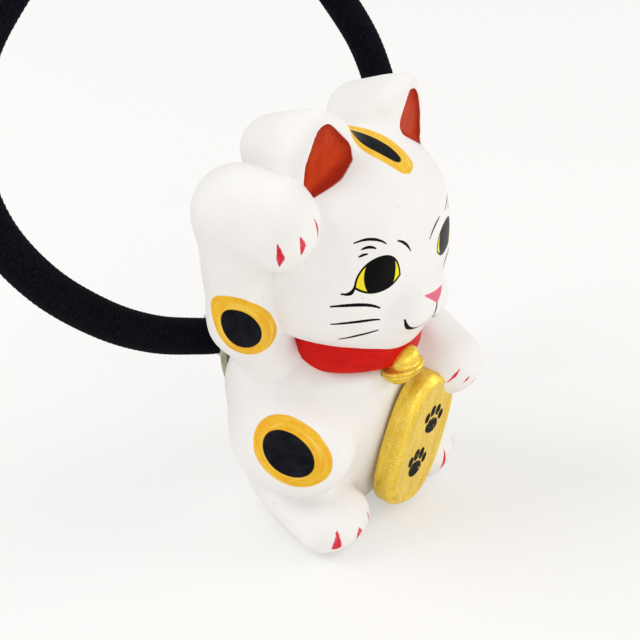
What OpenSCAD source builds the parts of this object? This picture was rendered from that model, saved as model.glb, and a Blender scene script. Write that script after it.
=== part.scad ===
// Beckoning cat ornament on a covered elastic hair tie.
// The cat faces -Y, its left side is +X, and it stands on z = 0.

/* [Head] */
// Width of the skull
skull_w = 24.4; // [22:0.1:27]
// Front to back of the skull
skull_d = 19.6; // [18:0.1:22]
// Height of the skull
skull_h = 19.2; // [17:0.1:22]
// Height of the skull's centre above the collar seat
skull_rise = 14; // [13:0.1:15.5]
// Width of one cheek
cheek_w = 14.2; // [12:0.1:16]
// Front to back of one cheek
cheek_d = 14.8; // [13:0.1:17]
// Height of one cheek
cheek_h = 13.2; // [11.5:0.1:14.5]
// Width of the chin
chin_w = 12.4; // [10:0.1:15]
// Height of the chin
chin_h = 9.2; // [8:0.1:10]
// Width of the muzzle
muzzle_w = 9; // [7:0.1:11]
// How far the muzzle stands out in front of the skull's centre
muzzle_reach = 11.4; // [10.6:0.1:13]
// Height of the ear tips above the skull's centre
ear_rise = 13.2; // [11.5:0.1:16]
// Distance between the middles of the ear tips
ear_spread = 14.8; // [12.5:0.1:17]
// Radius of the rim around each ear
ear_rim_r = 1.9; // [1.5:0.1:2.3]
// Depth of the painted hollow in each ear
ear_hollow = 0.5; // [0.2:0.1:0.8]

/* [Body] */
// Height of the collar seat above the ground
seat_z = 19.8; // [18.5:0.1:21]
// Width of the back
back_w = 25.6; // [23:0.1:29]
// Width of the belly
belly_w = 22.6; // [20:0.1:26]
// Front to back of the belly
belly_d = 17.2; // [15:0.1:19]
// Width of the chest
chest_w = 20; // [17:0.1:23]
// Front to back of the chest
chest_d = 15.8; // [14:0.1:17]
// Distance between the middles of the thighs
thigh_spread = 18; // [16:0.1:20]
// Width of one thigh
thigh_w = 12; // [10:0.1:14]
// Front to back of one thigh
thigh_d = 14; // [12:0.1:16]
// Height of one thigh
thigh_h = 12.2; // [10.5:0.1:14]
// Distance between the middles of the toes
toe_spread = 17.2; // [15.5:0.1:19]
// Width of one foot
foot_w = 9.4; // [8.2:0.1:10.6]
// Height of one foot
foot_h = 6.4; // [5.5:0.1:8]
// How far the toes reach in front of the middle of the base
toe_reach = 9; // [8.4:0.1:10]
// Diameter of the neck post
neck_d = 9; // [7:0.1:10.5]
// Height of the neck post above the collar seat
neck_h = 6.5; // [5.4:0.1:9]

/* [Arms] */
// Width of the raised forearm
forearm_w = 7.6; // [6.5:0.1:8.8]
// Front to back of the raised forearm
forearm_d = 6.5; // [5.8:0.1:7.6]
// Height of the raised elbow above the collar seat
elbow_rise = 6.7; // [5.6:0.1:8]
// Height of the raised paw above the collar seat
raised_paw_rise = 18; // [15:0.1:21]
// Width of the raised paw
raised_paw_w = 9; // [7.8:0.1:10.4]
// Length of the raised paw, front to back
raised_paw_l = 12; // [10:0.1:14]
// Height of the raised paw
raised_paw_h = 8.8; // [7.6:0.1:10]
// Width of the paw on the plate
low_paw_w = 8.4; // [7.4:0.1:9.2]
// Diameter of the pegs that hold the arms and the plate
peg_d = 3; // [2:0.1:4]
// Length of the pegs that hold the arms
arm_peg_l = 7; // [5.5:0.1:9]

/* [Collar and bell] */
// Outer diameter of the collar
collar_d = 14.6; // [13:0.1:15.6]
// Height of the collar before it is fitted under the jaw
collar_h = 4; // [3:0.1:4.6]
// Diameter of the bell
bell_d = 4.2; // [3.4:0.1:4.8]
// Width of the band around the bell
bell_band_h = 0.7; // [0.4:0.1:1]
// How far that band stands out
bell_band_out = 0.3; // [0.2:0.05:0.5]
// Width of the slit in the bell
bell_slit = 0.5; // [0.3:0.1:0.8]

/* [Oval plate] */
// Width of the oval plate
plate_w = 9.2; // [8:0.1:10]
// Height of the oval plate
plate_h = 16.2; // [14.5:0.1:16.6]
// Thickness of the oval plate
plate_t = 2.8; // [2:0.1:3.2]
// Width of the bevel around its front
plate_bevel = 0.7; // [0.4:0.1:1.2]
// Lean of the plate towards the cat's left, in degrees
plate_lean = 14; // [10:0.5:16]
// Tip of the plate towards the front, in degrees
plate_tip = 7; // [3:0.5:9]
// Length of the peg behind the plate
plate_peg_l = 4.5; // [3.5:0.1:6]

/* [Hair tie] */
// Diameter of the metal pad on the back
pad_d = 16; // [12:0.1:18]
// Thickness of the metal pad
pad_t = 0.6; // [0.4:0.1:1]
// Thickness of the glue under the pad
glue_t = 0.15; // [0.1:0.05:0.3]
// Height of the elastic's axis above the ground
tie_z = 17.5; // [16:0.1:19]
// Diameter of the covered elastic
elastic_d = 4; // [3:0.1:4.4]
// Thickness of the woven cover
cover_t = 0.55; // [0.4:0.05:0.7]
// Thickness of the ferrule's wall
ferrule_t = 0.45; // [0.3:0.05:0.6]
// Length of the ferrule
ferrule_l = 8.4; // [7.6:0.1:9.6]
// Width of each end rim of the ferrule
ferrule_rim_w = 0.8; // [0.5:0.1:1]
// How far those rims stand out
ferrule_rim_out = 0.35; // [0.25:0.05:0.45]
// Thickness of the bridge's wall
bridge_t = 0.7; // [0.5:0.1:1]
// Upward tilt of the elastic ring, in degrees
ring_tilt = 79; // [60:1:84]

/* [Fits] */
// Gap between glued pieces
glue_gap = 0.05; // [0.04:0.01:0.1]
// Running gap between the ferrule and the bridge, on radius
run_gap = 0.05; // [0.03:0.01:0.1]
// End play of the ferrule in the bridge, on each side
end_gap = 0.3; // [0.2:0.05:0.5]
// Clear space between the ferrule's rims and the pad
pad_clear = 0.4; // [0.3:0.1:1]

/* [Hidden] */
$fn = 64;
form_fn = 32;
tube_sides = 10;
steps_per_run = 2;

// Places on the cat, all from the neck, the ground or the piece they belong to
neck_y = -1.7;
skull_set = 1.1;
cheek_out = 0.3;
cheek_reach = 0.8;
cheek_drop = 5;
chin_reach = 4.2;
chin_drop = 8.6;
muzzle_drop = 6.6;
bridge_drop = 3.8;
bridge_set = 3;
bridge_narrow = 2.6;
bridge_less = 0.6;
ear_foot_rise = 6.2;
ear_reach = 1.7;
skull_y = neck_y + skull_set;
skull_z = seat_z + skull_rise;
cheek_x = (skull_w - cheek_w) / 2 + cheek_out;
cheek_y = skull_y - cheek_reach;
cheek_z = skull_z - cheek_drop;
chin_y = skull_y - chin_reach;
chin_z = skull_z - chin_drop;
chin_d = 10.8;
muzzle_d = 8.4;
muzzle_h = 7;
muzzle_y = skull_y - muzzle_reach + muzzle_d / 2;
muzzle_z = skull_z - muzzle_drop;
nose_bridge_z = skull_z - bridge_drop;
ear_tip_z = skull_z + ear_rise - ear_rim_r;
ear_foot_z = skull_z + ear_foot_rise;
ear_y = skull_y - ear_reach;
ear_back_r = 3.4;
ear_top_in = 3;
ear_top_drop = 1.2;
ear_out = 2.5;
ear_out_set = 0.9;
ear_bow = 2;
ear_bow_drop = 2.1;
ear_in = 4.4;
ear_in_set = 0.2;
ear_in_rise = 1.4;
ear_back_in = 0.4;
ear_back_set = 5.1;
ear_back_drop = 2.9;
ear_thin = 0.25;
ear_side_r = ear_rim_r - ear_thin;
hollow_r = 0.9;
hollow_side = 0.6;
hollow_in = 0.8;
hollow_foot = 1.5;

back_drop = 3.5;
nape_drop = 0.4;
chest_drop = 1.8;
back_c = [0, 3.4, seat_z - back_drop];
back_d = 13.8;
back_h = 14;
nape_c = [0, 4.6, seat_z - nape_drop];
nape_w = 18;
nape_d = 10.4;
nape_h = 6.4;
chest_c = [0, 0.3, seat_z - chest_drop];
chest_h = 5.6;
belly_c = [0, 2.2, 9];
belly_h = 17;
base_c = [0, 2.5, 3];
base_w = 19;
base_d = 15;
base_h = 9;
thigh_y = -0.6;
thigh_z = 11.6;
toe_d = 6.8;
toe_y = toe_d / 2 - toe_reach;
foot_sink = 0.1;
foot_z = foot_h / 2 - foot_sink;
heel_y = 0.5;
heel_in = 1.4;
heel_narrow = 1.8;

plate_c = [2.6, -8.4, 8.8];
shoulder_rise = 1.8;
wrist_drop = 0.4;
low_shoulder_drop = 1.4;
low_paw_sink = 0.8;
raised_paw_z = seat_z + raised_paw_rise;
shoulder_c = [-9, 3, seat_z + shoulder_rise];
elbow_c = [-12.3, 2.5, seat_z + elbow_rise];
wrist_c = [-14.1, 2.5, raised_paw_z - wrist_drop];
paw_tip_y = -5.9;
paw_back_l = 0.8 * raised_paw_l;
paw_toe_l = 0.63 * raised_paw_l;
paw_back_c = [-13.8, paw_tip_y + raised_paw_l - paw_back_l / 2, raised_paw_z + 0.6];
paw_toe_c = [-12.9, paw_tip_y + paw_toe_l / 2, raised_paw_z - 0.4];
low_shoulder_c = [9.8, -1, seat_z - low_shoulder_drop];
low_paw_out = 6;
low_paw_set = 0.4;
low_paw_c = [
    plate_c[0] + low_paw_out, plate_c[1] + low_paw_set, plate_c[2] + plate_h / 2 - low_paw_sink
];
raised_peg_turn = [0, 150, 0];
low_peg_turn = [0, -100, 0];

collar_r = collar_d / 2;
bell_sink = 0.1;
bell_drop = 0.5;
bell_c = [-0.6, neck_y - collar_r + bell_sink, seat_z - bell_drop];

back_face_y = 9.3;
cut_room = 40;
glue_in = 1.5;
pad_y = back_face_y + glue_t;
ferrule_r = elastic_d / 2 + glue_gap + ferrule_t;
tie_y = pad_y + pad_t + pad_clear + ferrule_r + ferrule_rim_out;
bridge_bore_r = ferrule_r + run_gap;
bridge_r = bridge_bore_r + bridge_t;
bridge_w = ferrule_l - 2 * (ferrule_rim_w + end_gap);

// Route of the elastic from one end in the ferrule to the other: distance to the cat's left
// and distance up the ring's plane
route = [
    [-0.3, 0], [-4.2, 0], [-8, 1.3], [-14, 4], [-20, 8], [-26, 13.8], [-30, 20.4],
    [-31, 27], [-29, 33.5], [-24.5, 39], [-15, 45], [-2, 47.5], [10, 45], [20, 38.5],
    [28, 29], [31.4, 22.4], [32.3, 16], [29.5, 9.5], [23.5, 4.9], [15.5, 1.9], [8.5, 0.4],
    [4.2, 0], [0.3, 0]
];

// A point of the ring's plane in the cat's frame
function on_ring(p) =
    [p[0], tie_y + p[1] * cos(ring_tilt), tie_z + p[1] * sin(ring_tilt)];

// A smooth run between b and c, with a and d their neighbours
function blend(a, b, c, d, t) =
    0.5 * (2 * b + (c - a) * t + (2 * a - 5 * b + 4 * c - d) * t * t
        + (3 * b - a - 3 * c + d) * t * t * t);
function at(list, i) = list[max(0, min(len(list) - 1, i))];
function smooth(list, n) = [
    for (i = [0 : len(list) - 2], k = [0 : n - 1])
        blend(at(list, i - 1), list[i], list[i + 1], at(list, i + 2), k / n),
    list[len(list) - 1]
];
function unit(v) = v / norm(v);

elastic_path = [for (p = smooth(route, steps_per_run)) on_ring(p)];
ring_normal = [0, -sin(ring_tilt), cos(ring_tilt)];

// One ring of points around each point of the path
function skin(path, r) = [
    for (i = [0 : len(path) - 1])
        let (run = unit(at(path, i + 1) - at(path, i - 1)), side = cross(run, ring_normal))
        for (k = [0 : tube_sides - 1])
            path[i] + r * (cos(k * 360 / tube_sides) * ring_normal
                + sin(k * 360 / tube_sides) * side)
];

// Triangles along a skin that starts at point s, facing out or in
function wall(rings, s, out) = [
    for (i = [0 : rings - 2], k = [0 : tube_sides - 1], half = [0, 1])
        let (
            a = s + i * tube_sides + k,
            b = s + i * tube_sides + (k + 1) % tube_sides,
            c = a + tube_sides,
            d = b + tube_sides,
            f = half == 0 ? [a, b, c] : [b, d, c]
        )
        out ? f : [f[2], f[1], f[0]]
];

// A solid cord along the path
module cord(path, r) {
    n = len(path);
    first = [for (k = [1 : tube_sides - 2]) [0, k + 1, k]];
    e = (n - 1) * tube_sides;
    last = [for (k = [1 : tube_sides - 2]) [e, e + k, e + k + 1]];
    polyhedron(points = skin(path, r), faces = concat(wall(n, 0, true), first, last), convexity = 8);
}

// A hollow cord along the path
module sleeve(path, r_out, r_in) {
    n = len(path);
    s = n * tube_sides;
    e = (n - 1) * tube_sides;
    ends = [
        for (k = [0 : tube_sides - 1], half = [0, 1])
            let (m = (k + 1) % tube_sides)
            half == 0 ? [k, s + k, m] : [m, s + k, s + m],
        for (k = [0 : tube_sides - 1], half = [0, 1])
            let (m = (k + 1) % tube_sides)
            half == 0 ? [e + k, e + m, s + e + k] : [e + m, s + e + m, s + e + k]
    ];
    polyhedron(
        points = concat(skin(path, r_out), skin(path, r_in)),
        faces = concat(wall(n, 0, true), wall(n, s, false), ends),
        convexity = 8
    );
}

// A rounded lump of the given size about a point, made larger all round by grow
module lump(c, size, grow = 0) {
    hull() translate(c) scale(size / 2 + [grow, grow, grow]) sphere(1, $fn = form_fn);
}

module ball(c, r, grow = 0) {
    lump(c, [2 * r, 2 * r, 2 * r], grow);
}

module skull_form(grow = 0) {
    hull() {
        lump([0, skull_y, skull_z], [skull_w, skull_d, skull_h], grow);
        for (s = [-1, 1])
            lump([s * cheek_x, cheek_y, cheek_z], [cheek_w, cheek_d, cheek_h], grow);
        lump([0, chin_y, chin_z], [chin_w, chin_d, chin_h], grow);
    }
    hull() {
        lump([0, muzzle_y, muzzle_z], [muzzle_w, muzzle_d, muzzle_h], grow);
        lump(
            [0, muzzle_y + bridge_set, nose_bridge_z],
            [muzzle_w - bridge_narrow, muzzle_d, muzzle_h - bridge_less], grow
        );
    }
}

module ear_form(s, grow = 0) {
    tip_x = ear_spread / 2;
    hull() {
        ball([s * tip_x, ear_y, ear_tip_z], ear_rim_r, grow);
        ball([s * (tip_x - ear_top_in), ear_y + ear_in_set, ear_tip_z - ear_top_drop], ear_side_r, grow);
        ball([s * (tip_x - ear_in), ear_y + ear_in_set, ear_foot_z + ear_in_rise], ear_side_r, grow);
        ball([s * (tip_x + ear_bow), ear_y + ear_out_set, ear_tip_z - ear_bow_drop], ear_side_r, grow);
        ball([s * (tip_x + ear_out), ear_y + ear_out_set, ear_foot_z], ear_side_r, grow);
        ball([s * (tip_x - ear_back_in), ear_y + ear_back_set, ear_tip_z - ear_back_drop], ear_back_r, grow);
    }
}

// The shallow hollow in the front of an ear
module ear_hollow_form(s) {
    tip_x = ear_spread / 2;
    sink = ear_hollow - hollow_r;
    in_y = ear_y + ear_in_set - ear_side_r + sink;
    out_y = ear_y + ear_out_set - ear_side_r + sink;
    hull() {
        ball([s * tip_x, ear_y - ear_rim_r + sink, ear_tip_z], hollow_r);
        ball([s * (tip_x - ear_top_in + hollow_in), in_y, ear_tip_z - ear_top_drop - hollow_in / 2], hollow_r);
        ball([s * (tip_x - ear_in + hollow_foot), in_y, ear_foot_z + ear_in_rise + hollow_foot / 4], hollow_r);
        ball([s * (tip_x + ear_bow - hollow_side), out_y, ear_tip_z - ear_bow_drop], hollow_r);
        ball([s * (tip_x + ear_out - hollow_side), out_y, ear_foot_z], hollow_r);
    }
}

module head_form(grow = 0) {
    skull_form(grow);
    for (s = [-1, 1])
        ear_form(s, grow);
}

module torso_form(grow = 0) {
    hull() {
        lump(chest_c, [chest_w, chest_d, chest_h], grow);
        lump(back_c, [back_w, back_d, back_h], grow);
        lump(nape_c, [nape_w, nape_d, nape_h], grow);
        lump(belly_c, [belly_w, belly_d, belly_h], grow);
        lump(base_c, [base_w, base_d, base_h], grow);
    }
    for (s = [-1, 1]) {
        lump([s * thigh_spread / 2, thigh_y, thigh_z], [thigh_w, thigh_d, thigh_h], grow);
        hull() {
            lump([s * toe_spread / 2, toe_y, foot_z], [foot_w, toe_d, foot_h], grow);
            lump(
                [s * (toe_spread / 2 - heel_in), heel_y, foot_z],
                [foot_w - heel_narrow, toe_d, foot_h], grow
            );
        }
    }
}

module collar_blank(grow = 0) {
    translate([0, neck_y, seat_z - grow])
        cylinder(h = collar_h + 2 * grow, r = collar_r + grow);
}

module neck_post(grow = 0) {
    translate([0, neck_y, seat_z - 1])
        cylinder(h = neck_h + 1 + grow, d = neck_d + 2 * grow);
}

module raised_peg(grow = 0) {
    translate(shoulder_c) rotate(raised_peg_turn)
        cylinder(h = arm_peg_l + grow, d = peg_d + 2 * grow);
}

module low_peg(grow = 0) {
    translate(low_shoulder_c) rotate(low_peg_turn)
        cylinder(h = arm_peg_l + grow, d = peg_d + 2 * grow);
}

// Outline of the oval plate
function oval(w, h) = [
    for (a = [0 : 7.5 : 352.5])
        [sign(cos(a)) * pow(abs(cos(a)), 0.75) * w / 2, sign(sin(a)) * pow(abs(sin(a)), 0.75) * h / 2]
];

// Puts a plate drawn flat, with its front up, in its place before the belly
module plate_place() {
    translate(plate_c) rotate([plate_tip, plate_lean, 0]) rotate([90, 0, 0]) children();
}

module plate_form(grow = 0) {
    hull() {
        translate([0, 0, -plate_t / 2 - grow])
            linear_extrude(plate_t - plate_bevel + 2 * grow)
                polygon(oval(plate_w + 2 * grow, plate_h + 2 * grow));
        translate([0, 0, -plate_t / 2])
            linear_extrude(plate_t + grow)
                polygon(oval(plate_w - 2 * plate_bevel + 2 * grow, plate_h - 2 * plate_bevel + 2 * grow));
    }
}

module plate_peg(grow = 0) {
    translate([0, 0, -plate_t / 2 - plate_peg_l - grow])
        cylinder(h = plate_peg_l + plate_t / 2 + grow, d = peg_d + 2 * grow);
}

module body() {
    color("white") difference() {
        union() {
            difference() {
                torso_form();
                head_form(glue_gap);
                collar_blank(glue_gap);
            }
            neck_post();
        }
        raised_peg(glue_gap);
        low_peg(glue_gap);
        plate_place() {
            plate_form(glue_gap);
            plate_peg(glue_gap);
        }
        translate(bell_c) sphere(bell_d / 2 + bell_band_out + glue_gap);
        translate([-cut_room, back_face_y, 0]) cube([2 * cut_room, cut_room, cut_room]);
        translate([-cut_room, -cut_room, -cut_room]) cube([2 * cut_room, 2 * cut_room, cut_room]);
    }
}

module head() {
    color("white") difference() {
        head_form();
        neck_post(glue_gap);
        for (s = [-1, 1])
            ear_hollow_form(s);
    }
}

module raised_arm() {
    color("white") union() {
        difference() {
            union() {
                hull() {
                    lump(shoulder_c, [forearm_w - 1, forearm_d - 0.1, forearm_w - 1]);
                    lump(elbow_c, [forearm_w + 0.4, forearm_d + 0.1, forearm_w + 0.2]);
                }
                hull() {
                    lump(elbow_c, [forearm_w + 0.4, forearm_d + 0.1, forearm_w + 0.2]);
                    lump(wrist_c, [forearm_w - 0.4, forearm_d, forearm_w + 1.2]);
                }
                hull() {
                    lump(paw_back_c, [raised_paw_w, paw_back_l, raised_paw_h]);
                    lump(paw_toe_c, [raised_paw_w - 0.4, paw_toe_l, raised_paw_h + 0.2]);
                }
            }
            head_form(glue_gap);
            torso_form(glue_gap);
            collar_blank(glue_gap);
        }
        raised_peg();
    }
}

module plate_arm() {
    color("white") union() {
        difference() {
            hull() {
                lump(low_shoulder_c, [low_paw_w, low_paw_w + 1, low_paw_w]);
                lump(low_paw_c, [low_paw_w, low_paw_w - 0.4, low_paw_w - 1]);
            }
            head_form(glue_gap);
            torso_form(glue_gap);
            collar_blank(glue_gap);
            plate_place() plate_form(glue_gap);
        }
        low_peg();
    }
}

module collar() {
    color("firebrick") difference() {
        collar_blank();
        head_form(glue_gap);
        neck_post(glue_gap);
        translate(bell_c) sphere(bell_d / 2 + bell_band_out + glue_gap);
    }
}

module bell() {
    color("goldenrod") translate(bell_c) difference() {
        union() {
            sphere(d = bell_d);
            cylinder(h = bell_band_h, r = bell_d / 2 + bell_band_out - 0.1, center = true);
        }
        translate([0, 0, -bell_d / 2])
            cube([bell_slit, bell_d + 2, bell_d / 2], center = true);
    }
}

module oval_plate() {
    color("goldenrod") plate_place() {
        plate_form();
        plate_peg();
    }
}

module glue_pad() {
    color("beige") translate([0, back_face_y, tie_z]) rotate([-90, 0, 0])
        cylinder(h = glue_t, d = pad_d - 2 * glue_in);
}

module back_pad() {
    color("darkkhaki") translate([0, pad_y, tie_z]) rotate([-90, 0, 0])
        rotate_extrude() polygon([
            [0, 0], [pad_d / 2 - pad_t / 2, 0], [pad_d / 2, pad_t / 2], [pad_d / 2, pad_t], [0, pad_t]
        ]);
}

module cord_bridge() {
    foot_y = pad_y + pad_t;
    color("darkkhaki") difference() {
        union() {
            translate([-bridge_w / 2, tie_y, tie_z]) rotate([0, 90, 0])
                cylinder(h = bridge_w, r = bridge_r);
            translate([-bridge_w / 2, foot_y, tie_z - bridge_r * 0.8])
                cube([bridge_w, tie_y - foot_y, bridge_r * 1.6]);
        }
        translate([-bridge_w, tie_y, tie_z]) rotate([0, 90, 0])
            cylinder(h = 2 * bridge_w, r = bridge_bore_r);
    }
}

module ferrule() {
    bore_r = elastic_d / 2 + glue_gap;
    half = ferrule_l / 2;
    color("silver") translate([0, tie_y, tie_z]) rotate([0, 90, 0])
        rotate_extrude() polygon([
            [bore_r, -half], [ferrule_r + ferrule_rim_out, -half],
            [ferrule_r + ferrule_rim_out, -half + ferrule_rim_w], [ferrule_r, -half + ferrule_rim_w],
            [ferrule_r, half - ferrule_rim_w], [ferrule_r + ferrule_rim_out, half - ferrule_rim_w],
            [ferrule_r + ferrule_rim_out, half], [bore_r, half]
        ]);
}

module elastic_cover() {
    color("black") sleeve(elastic_path, elastic_d / 2, elastic_d / 2 - cover_t);
}

module elastic_core() {
    color("dimgray") cord(elastic_path, elastic_d / 2 - cover_t - glue_gap);
}

body();
head();
raised_arm();
plate_arm();
collar();
bell();
oval_plate();
glue_pad();
back_pad();
cord_bridge();
ferrule();
elastic_cover();
elastic_core();
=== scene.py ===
import math
import bmesh
import bpy
import numpy as np
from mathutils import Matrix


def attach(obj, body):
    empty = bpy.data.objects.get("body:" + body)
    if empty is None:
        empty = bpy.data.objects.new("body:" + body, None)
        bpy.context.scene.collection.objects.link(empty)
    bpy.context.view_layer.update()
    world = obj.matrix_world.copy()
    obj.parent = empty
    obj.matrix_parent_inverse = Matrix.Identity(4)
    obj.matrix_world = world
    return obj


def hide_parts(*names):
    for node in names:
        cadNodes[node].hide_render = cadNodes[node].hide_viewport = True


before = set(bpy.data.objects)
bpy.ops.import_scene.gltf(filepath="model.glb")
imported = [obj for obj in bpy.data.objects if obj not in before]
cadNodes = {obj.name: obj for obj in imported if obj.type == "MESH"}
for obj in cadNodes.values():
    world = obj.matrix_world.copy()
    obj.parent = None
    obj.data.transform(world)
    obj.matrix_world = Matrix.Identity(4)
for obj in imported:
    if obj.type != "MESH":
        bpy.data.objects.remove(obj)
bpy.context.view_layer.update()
import openvdb
from mathutils import Vector

scene = bpy.context.scene
mm = 0.001

# camera at the photograph's view, measured in mm and degrees
cameraView = {"place": (-96.7, -69.5, 82.2), "turn": -53.3, "down": 26.97, "lens": 70.3}


def addObject(name, data):
    thing = bpy.data.objects.new(name, data)
    scene.collection.objects.link(thing)
    return thing


def makeCamera(view):
    data = bpy.data.cameras.new("photoCamera")
    data.lens = view["lens"]
    data.sensor_width = 36
    data.clip_start = 0.005
    data.clip_end = 10
    camera = addObject("photoCamera", data)
    camera.location = [v * mm for v in view["place"]]
    camera.rotation_euler = (math.radians(90 - view["down"]), 0, math.radians(view["turn"]))
    scene.camera = camera


makeCamera(cameraView)
print("camera placed")


def addMesh(name, points, faces, body, slot, *replaced):
    mesh = bpy.data.meshes.new(name)
    mesh.from_pydata([tuple(p) for p in points], [], [tuple(f) for f in faces])
    work = bmesh.new()
    work.from_mesh(mesh)
    bmesh.ops.recalc_face_normals(work, faces=work.faces)
    work.to_mesh(mesh)
    work.free()
    mesh.shade_smooth()
    piece = addObject(name, mesh)
    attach(piece, body)
    if replaced:
        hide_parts(*replaced)
    return piece


# four-sided faces between rows of points that go round, with both ends closed if wanted
def ringFaces(rows, around, capped=False):
    faces = []
    for i in range(rows - 1):
        for k in range(around):
            m = (k + 1) % around
            faces.append((i * around + k, i * around + m, (i + 1) * around + m, (i + 1) * around + k))
    if capped:
        last = (rows - 1) * around
        faces += [tuple(range(around))[::-1], tuple(last + k for k in range(around))]
    return faces


# joins points of a turned piece that lie on each other
def weld(piece, gap):
    work = bmesh.new()
    work.from_mesh(piece.data)
    bmesh.ops.remove_doubles(work, verts=work.verts, dist=gap)
    bmesh.ops.recalc_face_normals(work, faces=work.faces)
    work.to_mesh(piece.data)
    work.free()
    piece.data.shade_smooth()
    return piece


# the covered elastic: its route across and up the plane of the ring, from end to end in the ferrule
elastic = {
    "route": [
        (-0.3, 0), (-4.2, 0), (-8, 1.3), (-14, 4), (-20, 8), (-26, 13.8), (-30, 20.4), (-31, 27),
        (-29, 33.5), (-24.5, 39), (-15, 45), (-2, 47.5), (10, 45), (20, 38.5), (28, 29),
        (31.4, 22.4), (32.3, 16), (29.5, 9.5), (23.5, 4.9), (15.5, 1.9), (8.5, 0.4), (4.2, 0), (0.3, 0),
    ],
    "axis": (13.3, 17.5), "tilt": 79, "diameter": 4.0, "sides": 30,
    "yarnPitch": 0.34, "yarnHeight": 0.055, "ringsPerYarn": 5, "slant": 1, "routeSteps": 24, "pathEvery": 8,
}


def smoothRoute(route, steps):
    points = np.array(route, float)
    padded = np.vstack([points[:1], points, points[-1:]])
    t = (np.arange(steps) / steps)[:, None]
    runs = []
    for i in range(len(points) - 1):
        a, b, c, d = padded[i:i + 4]
        runs.append(0.5 * (2 * b + (c - a) * t + (2 * a - 5 * b + 4 * c - d) * t**2 + (3 * b - a - 3 * c + d) * t**3))
    return np.vstack(runs + [points[-1:]])


def evenSteps(path, spacing):
    lengths = np.r_[0, np.cumsum(np.linalg.norm(np.diff(path, axis=0), axis=1))]
    count = int(round(lengths[-1] / spacing)) + 1
    along = np.linspace(0, lengths[-1], count)
    return np.stack([np.interp(along, lengths, path[:, i]) for i in range(path.shape[1])], 1), along


def makeElastic(e):
    tilt = math.radians(e["tilt"])
    flat, along = evenSteps(smoothRoute(e["route"], e["routeSteps"]), e["yarnPitch"] / e["ringsPerYarn"])
    path = np.stack([
        flat[:, 0], e["axis"][0] + flat[:, 1] * math.cos(tilt), e["axis"][1] + flat[:, 1] * math.sin(tilt)], 1)
    normal = np.array([0, -math.sin(tilt), math.cos(tilt)])
    run = np.gradient(path, axis=0)
    run /= np.linalg.norm(run, axis=1)[:, None]
    side = np.cross(run, normal)
    sides = e["sides"]
    turn = np.arange(sides) * 2 * math.pi / sides
    # each yarn turn stands proud in the middle, and the turns wander a little from row to row
    wander = 0.6 * np.sin(along * 1.7) + 0.4 * np.sin(along * 4.3 + 1)
    phase = 2 * math.pi * along[:, None] / e["yarnPitch"] + e["slant"] * turn[None, :] + wander[:, None]
    ripple = np.abs(np.sin(phase / 2))**0.7 - 1 + 0.35 * np.sin(3 * turn[None, :] + along[:, None] * 9.1)
    radius = e["diameter"] / 2 + e["yarnHeight"] * (ripple + 0.35)
    rings = path[:, None, :] + radius[:, :, None] * (
        np.cos(turn)[None, :, None] * normal + np.sin(turn)[None, :, None] * side[:, None, :])
    piece = addMesh(
        "elastic_band", rings.reshape(-1, 3) * mm, ringFaces(len(path), sides, capped=True), "loop", "black_weave",
        "elastic_cover", "elastic_core")
    return piece


elasticBand = makeElastic(elastic)

# white forms: hulls of rounded lumps, each lump a centre and a full size in mm
# "soft" rounds the joins between hulls, and "low" and "high" are the corners of the space searched
headForm = {
    "skull": [
        ((0, -0.6, 33.8), (24.4, 19.6, 19.2)), ((-5.4, -1.4, 29.1), (14.2, 14.8, 12.6)),
        ((5.4, -1.4, 29.1), (14.2, 14.8, 12.6)), ((0, -4.8, 24.9), (12.4, 10.8, 9.9))],
    "muzzle": [((0, -7.8, 27.2), (9, 8.4, 7)), ((0, -4.8, 30), (6.4, 8.4, 6.4))],
    "browY": -10.0,
    "pad": [((1.9, -9.3, 26.6), (4.8, 4.8, 4.2))],
    "ear": [
        ((7.4, -2.3, 45.35), (3.8, 3.8, 3.8)), ((4.3, -2.1, 44.15), (3.3, 3.3, 3.3)),
        ((9.4, -1.4, 43.0), (3.3, 3.3, 3.3)), ((9.9, -1.4, 40.0), (3.3, 3.3, 3.3)),
        ((3.0, -2.1, 41.4), (3.3, 3.3, 3.3)), ((7.0, 2.8, 42.2), (6.8, 6.8, 6.8))],
    "soft": {"brow": 1.5, "muzzle": 2.0, "pad": 0.9, "ear": 1.6},
    # the painted hollow of either ear: discs in distance from the mid-line, z and radius, stretched round
    "hollow": {
        -1: [
            (7.6, 44.95, 1.12), (9.15, 42.2, 0.7), (9.4, 40.6, 0.6), (9.35, 39.85, 0.5), (4.7, 42.25, 0.5),
            (4.65, 42.95, 0.8)],
        1: [(6.95, 45.4, 0.62), (8.7, 42.7, 0.65), (9.35, 40.6, 0.62), (9.3, 39.95, 0.5), (4.85, 42.25, 0.45)]},
    "hollowDeep": 0.75, "hollowWall": 0.45, "earMid": -1.0, "earFrom": 37,
    "low": (-14, -13.5, 19.5), "high": (14, 10.5, 48),
}
bodyForm = {
    "torso": [
        ((0, 0.3, 18), (20, 15.8, 5.6)), ((0, 3.4, 16.3), (25.6, 13.8, 14)), ((0, 4.6, 19.4), (18, 10.4, 6.4)),
        ((0, 2.2, 9), (22.6, 17.2, 17)), ((0, 2.5, 3), (19, 15, 9))],
    "thigh": [((9, -0.6, 11.6), (12, 14, 12.2))],
    "foot": [((8.6, -5.6, 3.1), (9.4, 6.8, 6.4)), ((7.2, 0.5, 3.1), (7.6, 6.8, 6.4))],
    "soft": {"thigh": 1.6, "foot": 1.0}, "backY": 9.3,
    "low": (-16, -11.5, -0.9), "high": (16, 10.5, 24),
}
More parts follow.
